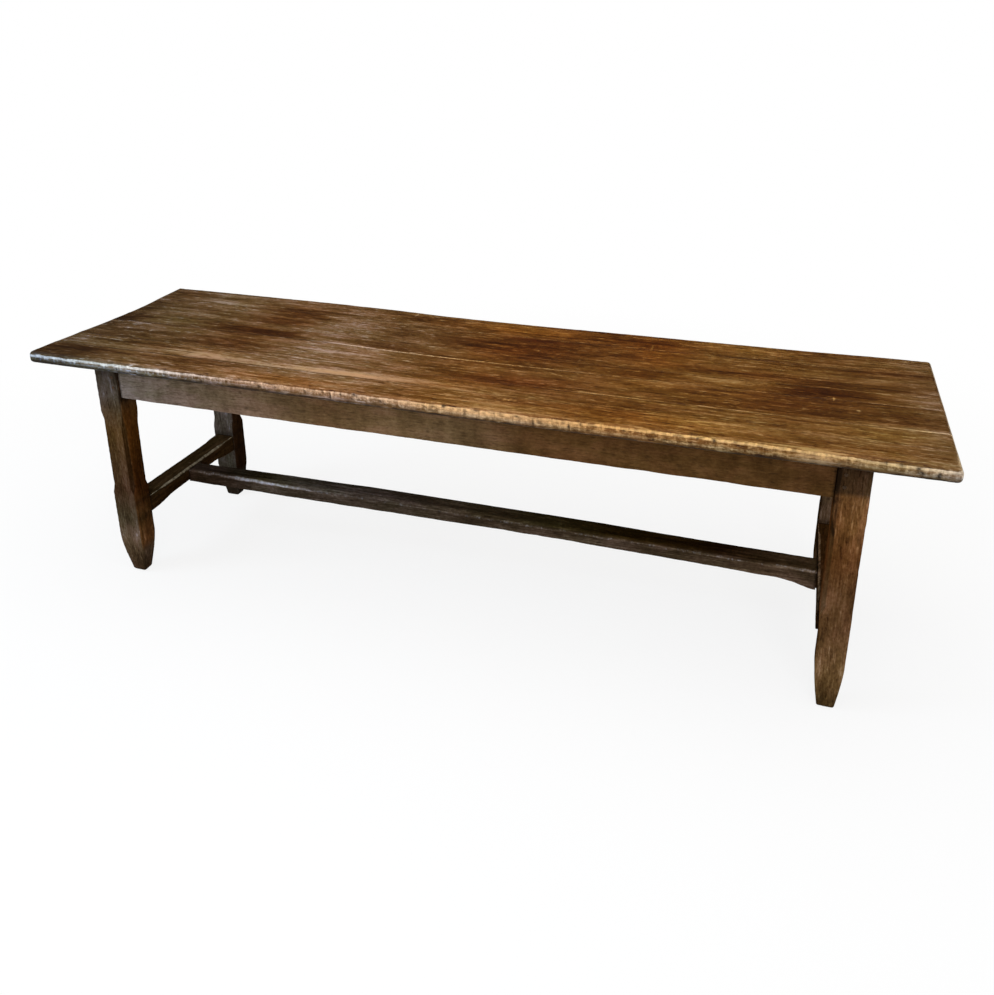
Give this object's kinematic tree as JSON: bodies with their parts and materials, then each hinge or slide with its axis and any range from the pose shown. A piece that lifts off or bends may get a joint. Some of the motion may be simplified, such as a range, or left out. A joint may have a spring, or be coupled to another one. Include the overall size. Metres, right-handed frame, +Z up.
{
  "type": "farmhouse table",
  "caption": "Long rectangular wooden dining table: plank top on square legs with stopped chamfers and tapered feet, deep aprons and an H stretcher.",
  "frame": {"origin": "on the floor under the middle of the top", "axes": "+X along the table to the right as seen from the front, +Y from the front to the back, +Z up"},
  "size_m": [2.566, 0.723, 0.76],
  "materials": {
    "top_wood": "worn, waxed, satin",
    "apron_wood": "old wax, dull",
    "leg_wood": "old wax, dull, worn arrises",
    "stretcher_wood": "dark old wax, worn arrises",
    "inner_wood": "bare, dusty",
    "peg_wood": "cleft end grain, waxed",
    "screw_iron": "dark, dull"
  },
  "bodies": {
    "root": {"top_plank_1": "top_wood", "top_plank_2": "top_wood", "top_plank_3": "top_wood", "top_plank_4": "top_wood", "top_plank_5": "top_wood", "top_plank_6": "top_wood", "top_tongue_1": "inner_wood", "top_tongue_2": "inner_wood", "top_tongue_3": "inner_wood", "top_tongue_4": "inner_wood", "top_tongue_5": "inner_wood", "front_apron": "apron_wood", "back_apron": "apron_wood", "left_apron": "apron_wood", "right_apron": "apron_wood", "front_left_leg": "leg_wood", "front_right_leg": "leg_wood", "back_left_leg": "leg_wood", "back_right_leg": "leg_wood", "left_stretcher": "stretcher_wood", "right_stretcher": "stretcher_wood", "centre_stretcher": "stretcher_wood", "left_batten": "inner_wood", "middle_batten": "inner_wood", "right_batten": "inner_wood", "top_buttons": "inner_wood", "apron_pegs": "peg_wood", "stretcher_pegs": "peg_wood", "batten_screws": "screw_iron", "button_screws": "screw_iron"}
  },
  "joints": []
}
